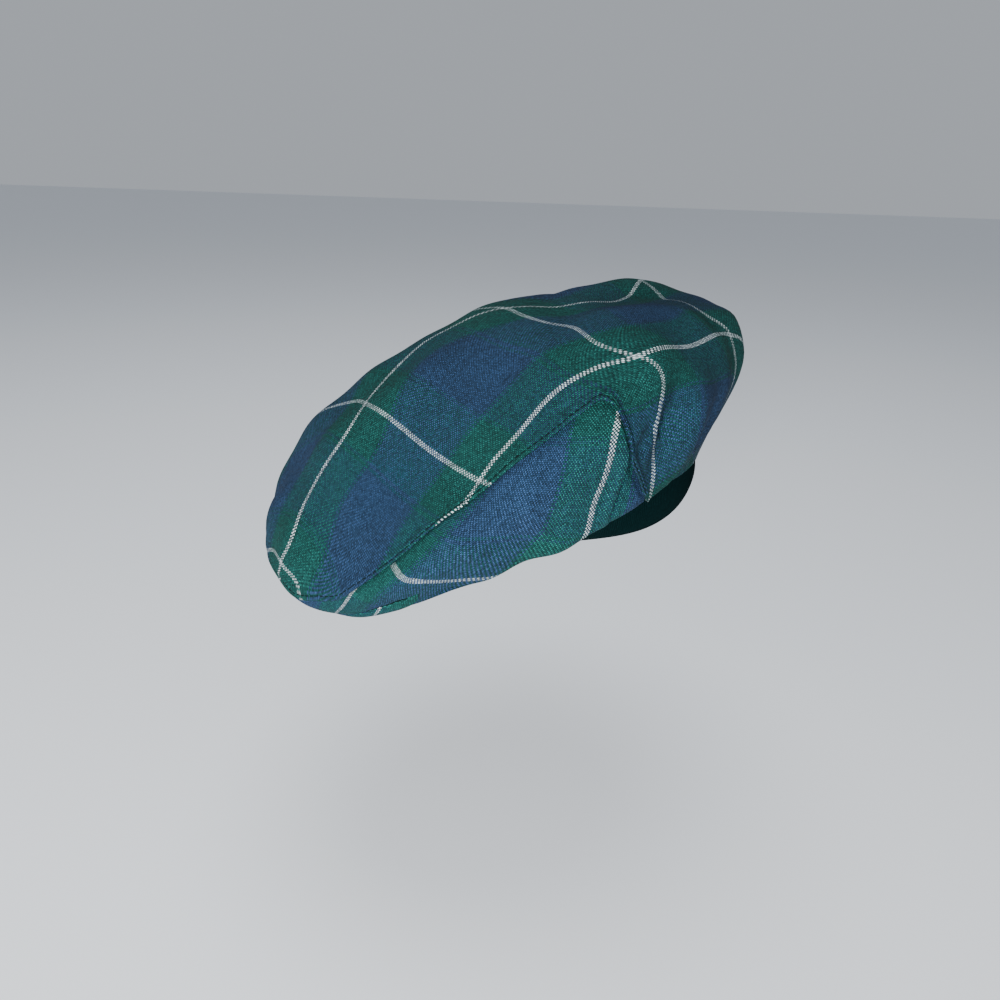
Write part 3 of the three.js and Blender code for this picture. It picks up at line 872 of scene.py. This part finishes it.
bm = bmesh.new()
bmesh.ops.create_grid(bm, x_segments=RIBS * RIB_COLUMNS, y_segments=BAND_ROWS - 1, size=GRID_SIZE)
band_map = bm.loops.layers.uv.new("cloth")
for face in bm.faces:
    for loop in face.loops:
        loop[band_map].uv = ((loop.vert.co.x + GRID_SIZE) * RIBS, loop.vert.co.y + GRID_SIZE)
for vertex in bm.verts:
    share, up = vertex.co.x + GRID_SIZE, vertex.co.y + GRID_SIZE
    azimuth = 360 * share
    rounded = math.sin(math.pi * up / BULGE_TOP) if up < BULGE_TOP else 0
    rib = RIB_DEPTH * math.cos(2 * math.pi * share * RIBS) * math.sin(math.pi * up) ** RIB_FADE
    reach = (float(band_reach(azimuth)) + BAND_BULGE * rounded + rib - RIB_DEPTH) * MM
    aside = math.radians(azimuth)
    from_droop = (azimuth - DROOP_TURN + 180) % 360 - 180
    droop = BAND_DROOP * math.exp(-((from_droop / DROOP_SPREAD) ** 2)) * (1 - up)
    vertex.co = (reach * math.cos(aside), reach * math.sin(aside), (up * BAND_HEIGHT - droop) * MM)
bmesh.ops.remove_doubles(bm, verts=bm.verts, dist=MERGE_DISTANCE)
band = finish_mesh("knit_ring", bm, BAND_KNIT)
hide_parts("headband")
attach(band, "root")
print("band faces:", len(band.data.polygons))

# %% [markdown]
# A row of stitches holds the crown's turned edge, and another lies in the seam of the front lip. Each stitch
# is a short length of thread that comes up through the cloth and goes down again: a small arched tube.

# %% Topstitching
STITCH_LENGTH, STITCH_GAP = 2.8, 0.3
THREAD_RADIUS = 0.25
THREAD_SIDES = 6
THREAD_ARCH = np.array([-1.4, 0.35, 0.7, 0.35, -1.4])


def sew(bm, line, normals):
    """Sews a row of stitches along a line of points, and returns how many there are."""
    lengths = np.concatenate([[0], np.cumsum(np.linalg.norm(np.diff(line, axis=0), axis=1))])
    stitches = int(lengths[-1] / MM // (STITCH_LENGTH + STITCH_GAP))
    for number in range(stitches):
        ends = (number * (STITCH_LENGTH + STITCH_GAP) + np.array([0, STITCH_LENGTH])) * MM
        along = np.linspace(ends[0], ends[1], len(THREAD_ARCH))
        middle = np.array([np.interp(along, lengths, line[:, k]) for k in range(3)]).T
        up = np.array([np.interp(along, lengths, normals[:, k]) for k in range(3)]).T
        middle = middle + up * (THREAD_RADIUS * MM * THREAD_ARCH)[:, None]
        aside = np.cross(np.gradient(middle, axis=0), up)
        aside /= np.linalg.norm(aside, axis=1, keepdims=True)
        rings = []
        for centre, out, across in zip(middle, up, aside):
            ring = bmesh.ops.create_circle(bm, segments=THREAD_SIDES, radius=THREAD_RADIUS * MM)["verts"]
            for vertex in ring:
                vertex.co = Vector(centre + across * vertex.co.x + out * vertex.co.y)
            rings.append(ring)
        for first, second in zip(rings, rings[1:]):
            for k in range(THREAD_SIDES):
                m = (k + 1) % THREAD_SIDES
                bm.faces.new((first[k], first[m], second[m], second[k]))
        bm.faces.new(rings[0][::-1])
        bm.faces.new(rings[-1])
    return stitches


print("thread in a stitch, mm:", STITCH_LENGTH, "between two:", STITCH_GAP)

# %% Both seams
SEAM_STITCHED = (FAR_TUCK + 1, 303)
SEAM_PLACES, LIP_PLACES = 900, 300
THREAD_PROUD = 0.02
LIP_STITCHED = (-0.9, 0.97)
LIP_THREAD_LEVEL, LIP_THREAD_LIFT, LIP_THREAD_SINK = 0.005, 0.25, 0.55

bm = bmesh.new()
seam_turns = np.linspace(*SEAM_STITCHED, SEAM_PLACES)
seam_ends = crown_edge(seam_turns)
seam_levels = panel_levels(seam_turns, 0 * seam_turns, seam_ends, 2, (), (STITCH_INSET, 0.0))[:, -2]
seam_line = cloth_points(seam_turns, seam_levels, LAP_LIFT - STITCH_DIP + THREAD_PROUD)
stitches = sew(bm, seam_line, smooth_normal(seam_turns, seam_levels))
lip_seam_turns = np.linspace(*(FRONT + share * LIP_HALF_ANGLE for share in LIP_STITCHED), LIP_PLACES)
lip_seam_levels = lip_place(lip_seam_turns)[1] + LIP_THREAD_LEVEL
lip_thread_lift = LIP_THREAD_LIFT - LIP_THREAD_SINK * lip_sink(lip_seam_turns)
lip_seam_line = cloth_points(lip_seam_turns, lip_seam_levels, lip_thread_lift)
stitches += sew(bm, lip_seam_line, smooth_normal(lip_seam_turns, lip_seam_levels))
thread = finish_mesh("topstitch", bm, 0)
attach(thread, "root")
print("stitches:", stitches)

# %% [markdown]
# The finishes are worked out by arithmetic on shader sockets, which this small class lets the code write as
# ordinary sums. One of its methods makes any node, and the others name the few that come up often.

# %% Shader arithmetic


class Wire:
    """A shader socket that takes part in ordinary arithmetic."""

    def __init__(self, tree, socket):
        self.tree = tree
        self.socket = socket

    def node(self, kind, inputs, output=0, **settings):
        """Makes a node, feeds the numbered or named inputs, and returns one of its outputs."""
        made = self.tree.nodes.new(kind)
        for name, value in settings.items():
            setattr(made, name, value)
        for key, value in inputs.items():
            if isinstance(value, Wire):
                self.tree.links.new(value.socket, made.inputs[key])
            else:
                made.inputs[key].default_value = value
        return Wire(self.tree, made.outputs[output])

    def math(self, operation, first, second=0.0, third=0.0):
        return self.node("ShaderNodeMath", {0: first, 1: second, 2: third}, operation=operation)

    def mix(self, share, first, second, blend="MIX"):
        """A colour between two others."""
        inputs = {0: share, 6: first, 7: second}
        return self.node("ShaderNodeMix", inputs, 2, data_type="RGBA", blend_type=blend)

    def toned(self, colour, share, tones):
        """A colour made darker or brighter by a grey between two tones."""
        low, high = ((tone, tone, tone, 1) for tone in tones)
        return self.mix(1.0, colour, self.mix(share, low, high), "MULTIPLY")

    def noise(self, vector, scale, detail=2.0):
        return self.node("ShaderNodeTexNoise", {"Vector": vector, "Scale": scale, "Detail": detail})

    def random(self, inputs, dimensions="3D"):
        """A number between nought and one, the same for the same inputs."""
        return self.node("ShaderNodeTexWhiteNoise", inputs, noise_dimensions=dimensions)

    def vector(self, x, y, z=0.0):
        return self.node("ShaderNodeCombineXYZ", {0: x, 1: y, 2: z})

    def __add__(self, other):
        return self.math("ADD", self, other)

    __radd__ = __add__

    def __sub__(self, other):
        return self.math("SUBTRACT", self, other)

    def __rsub__(self, other):
        return self.math("SUBTRACT", other, self)

    def __mul__(self, other):
        return self.math("MULTIPLY", self, other)

    __rmul__ = __mul__

    def __mod__(self, other):
        return self.math("FLOORED_MODULO", self, other)

    def __lt__(self, other):
        return self.math("LESS_THAN", self, other)

    def __gt__(self, other):
        return self.math("GREATER_THAN", self, other)

    def floor(self):
        return self.math("FLOOR", self)

    def abs(self):
        return self.math("ABSOLUTE", self)

    def step(self, low, high):
        """Nought below one value, one above the other, and smooth between."""
        return self.node("ShaderNodeMapRange", {0: self, 1: low, 2: high, 3: 0.0, 4: 1.0},
                         interpolation_type="SMOOTHSTEP")


def new_material(name, roughness, specular):
    """A matt fibre material, its shader and a first wire for arithmetic."""
    material = bpy.data.materials.new(name)
    material.use_nodes = True
    tree = material.node_tree
    shader = tree.nodes["Principled BSDF"]
    shader.inputs["Roughness"].default_value = roughness
    shader.inputs["Specular IOR Level"].default_value = specular
    return material, shader, Wire(tree, None)


# %% [markdown]
# The tartan is a plain weave. Every thread has one colour, which depends on its number in the repeat, and
# warp and weft take turns on top. So a line of white warp threads looks like a row of small checks, and only
# where it crosses a white weft line is it solid white. Near the border of two colours some threads stray, and
# each thread and each crossing has a tone of its own, because yarn is never even. Shade is painted in too:
# the weft is painted darker than the warp, as painted shade on the floats that catch less light, and the gaps
# between the threads are painted dark, as painted shade between them.

# %% Tartan cloth
THREADS = 114
GREEN_SHARE = 0.25
MIXED_THREADS = 9
WARP_SEED, WEFT_SEED = 3.0, 71.0
DRIFT_ACROSS, DRIFT_ALONG = 0.37, 0.021
THREAD_TONES, CROSSING_TONES = (0.55, 1.45), (0.55, 1.55)
GAP_START, GAP_END, GAP_DARKNESS = 0.28, 0.5, 0.95
# White weft threads take half of the weft's painted shade.
WHITE_DIMMING = 0.5
ROUND_ACROSS, ROUND_ALONG = 3, 2
WEAVE_RELIEF = 0.0003
GREEN = (0.0060, 0.066, 0.056, 1)
BLUE = (0.0172, 0.040, 0.097, 1)
WHITE = (0.41, 0.48, 0.49, 1)
# DARK is the colour of the painted shade, in the weft and in the gaps between threads.
DARK = (0.001, 0.008, 0.010, 1)


def tartan(name, white_threads, strength, shade):
    """The check with white lines of so many threads, a painted brightening and a share of painted shade in
    its weft.
    """
    material, shader, start = new_material(name, roughness=0.95, specular=0.12)
    cloth_place = start.node("ShaderNodeUVMap", {}, uv_map="cloth")
    u, v = (start.node("ShaderNodeSeparateXYZ", {0: cloth_place}, axis) for axis in (0, 1))
    warp_place, weft_place = u * THREADS, v * THREADS
    warp_thread, weft_thread = warp_place.floor(), weft_place.floor()
    warp_across = (warp_place - warp_thread - 0.5).abs()
    weft_across = (weft_place - weft_thread - 0.5).abs()
    warp_over = (warp_thread + weft_thread) % 2 > 0.5

    def thread_colour(thread, other, seed, darkness):
        """Colour of a thread by its number, with a tone of its own that drifts along it and a share of
        painted shade.
        """
        centre = THREADS / 2 + (0 if white_threads % 2 else 0.5)
        from_line = ((thread + centre) % THREADS - THREADS / 2).abs()
        drift = start.noise(start.vector(thread * DRIFT_ACROSS + seed, other * DRIFT_ALONG), 1.0)
        stray = start.random({1: thread + seed}, "1D")
        green, blue, dark = ([strength * part for part in tone[:3]] + [1] for tone in (GREEN, BLUE, DARK))
        colour = start.mix(from_line + (stray - 0.5) * MIXED_THREADS > THREADS * GREEN_SHARE, green, blue)
        white = start.mix(darkness * WHITE_DIMMING, WHITE, DARK)
        colour = start.mix(from_line < white_threads / 2, start.mix(darkness, colour, dark), white)
        return start.toned(colour, drift, THREAD_TONES)

    # The weft is painted darker by its share of painted shade, and the warp gets none.
    warp_colour = thread_colour(warp_thread, weft_place, WARP_SEED, 0.0)
    weft_colour = thread_colour(weft_thread, warp_place, WEFT_SEED, shade)
    colour = start.mix(warp_over, weft_colour, warp_colour)
    crossing = start.random({0: start.vector(warp_thread, weft_thread)})
    colour = start.toned(colour, crossing, CROSSING_TONES)
    # Painted shade: the gaps between the threads are painted dark.
    gap = start.math("MAXIMUM", warp_across, weft_across).step(GAP_START, GAP_END)
    colour = start.mix(gap * GAP_DARKNESS, colour, DARK)
    material.node_tree.links.new(colour.socket, shader.inputs["Base Color"])
    warp_bend, weft_bend = warp_across * warp_across, weft_across * weft_across
    warp_height = 1 - warp_bend * ROUND_ACROSS - weft_bend * ROUND_ALONG
    weft_height = 1 - weft_bend * ROUND_ACROSS - warp_bend * ROUND_ALONG
    height = warp_over * warp_height + (1 - warp_over) * weft_height
    bump = start.node("ShaderNodeBump", {"Strength": 1.0, "Distance": WEAVE_RELIEF, "Height": height})
    material.node_tree.links.new(bump.socket, shader.inputs["Normal"])
    return material


# The side panel, the wedge and the lip are painted brighter than the crown, as painted light from the lamp in
# front. The second number is the weft's painted shade.
CROWN_PAINTED_LIGHT_SHADE, LOWER_PAINTED_LIGHT_SHADE = (1.0, 0.52), (1.34, 0.7)
side_tartan_lit = tartan("tartan_side_lit", 4, *LOWER_PAINTED_LIGHT_SHADE)
crown.data.materials.append(tartan("tartan_crown", 3, *CROWN_PAINTED_LIGHT_SHADE))
side.data.materials.append(side_tartan_lit)
wedge.data.materials.append(side_tartan_lit)
lip.data.materials.append(tartan("tartan_lip_lit", 3, *LOWER_PAINTED_LIGHT_SHADE))
print("threads in a repeat:", THREADS, "pitch in mm:", round(REPEAT / THREADS, 2))

# %% [markdown]
# The knit is a very dark green wool that hardly shines. A fine noise gives it a fibrous grain, and its ribs
# are in the mesh. The sewing thread is as dark and as dull as the cloth.

# %% Knit and thread
KNIT_GRAIN = 900.0
KNIT_DARK, KNIT_LIGHT = (0.0002, 0.0024, 0.0027, 1), (0.0009, 0.0076, 0.0082, 1)
THREAD_COLOUR = (0.0005, 0.006, 0.006, 1)

knit, knit_shader, start = new_material("dark_knit", roughness=1.0, specular=0.04)
tone = start.noise(start.node("ShaderNodeTexCoord", {}, "Object"), KNIT_GRAIN, detail=3.0)
knit_colour = start.mix(tone, KNIT_DARK, KNIT_LIGHT)
knit.node_tree.links.new(knit_colour.socket, knit_shader.inputs["Base Color"])
band.data.materials.append(knit)

sewing, sewing_shader, _ = new_material("green_thread", roughness=0.9, specular=0.12)
sewing_shader.inputs["Base Color"].default_value = THREAD_COLOUR
thread.data.materials.append(sewing)
print("materials:", len(bpy.data.materials))

# %% [markdown]
# The hat floats at the height of a head over a plain pale floor, in the soft light of a grey day: one wide
# lamp from the camera's left, a weak one above, and a pale sky all round.

# %% Floor, light and world
FLOOR_HEIGHT, FLOOR_SIZE = -0.21, 6
FLOOR_COLOUR = (0.80, 0.82, 0.85, 1)
HAT_MIDDLE = (0, 0, 0.03)
SKY_COLOUR, SKY_STRENGTH = (0.72, 0.77, 0.84, 1), 0.55

floor_mesh = bmesh.new()
bmesh.ops.create_grid(floor_mesh, x_segments=2, y_segments=2, size=FLOOR_SIZE)
bmesh.ops.translate(floor_mesh, verts=floor_mesh.verts, vec=(0, 0, FLOOR_HEIGHT))
floor = finish_mesh("floor", floor_mesh, 0)
floor_material, floor_shader, _ = new_material("pale_floor", roughness=0.7, specular=0.5)
floor_shader.inputs["Base Color"].default_value = FLOOR_COLOUR
floor.data.materials.append(floor_material)


def soft_light(name, place, size, power, colour):
    """A round soft lamp that looks at the hat."""
    data = bpy.data.lights.new(name, "AREA")
    data.shape = "DISK"
    data.size = size
    data.energy = power
    data.color = colour
    lamp = bpy.data.objects.new(name, data)
    bpy.context.collection.objects.link(lamp)
    lamp.location = place
    lamp.rotation_euler = (Vector(HAT_MIDDLE) - Vector(place)).to_track_quat("-Z", "Y").to_euler()


soft_light("key", place=(-0.35, -1.4, 0.22), size=0.6, power=56, colour=(1.0, 1.0, 1.0))
soft_light("ceiling", place=(-0.1, 0.2, 1.5), size=1.0, power=12, colour=(0.95, 0.98, 1.0))
world = bpy.data.worlds.new("studio")
world.use_nodes = True
sky = world.node_tree.nodes["Background"]
sky.inputs["Color"].default_value = SKY_COLOUR
sky.inputs["Strength"].default_value = SKY_STRENGTH
bpy.context.scene.world = world
print("lamps:", len(bpy.data.lights))

# %% [markdown]
# Last, the view layer is brought up to date.

# %% Last update
bpy.context.view_layer.update()
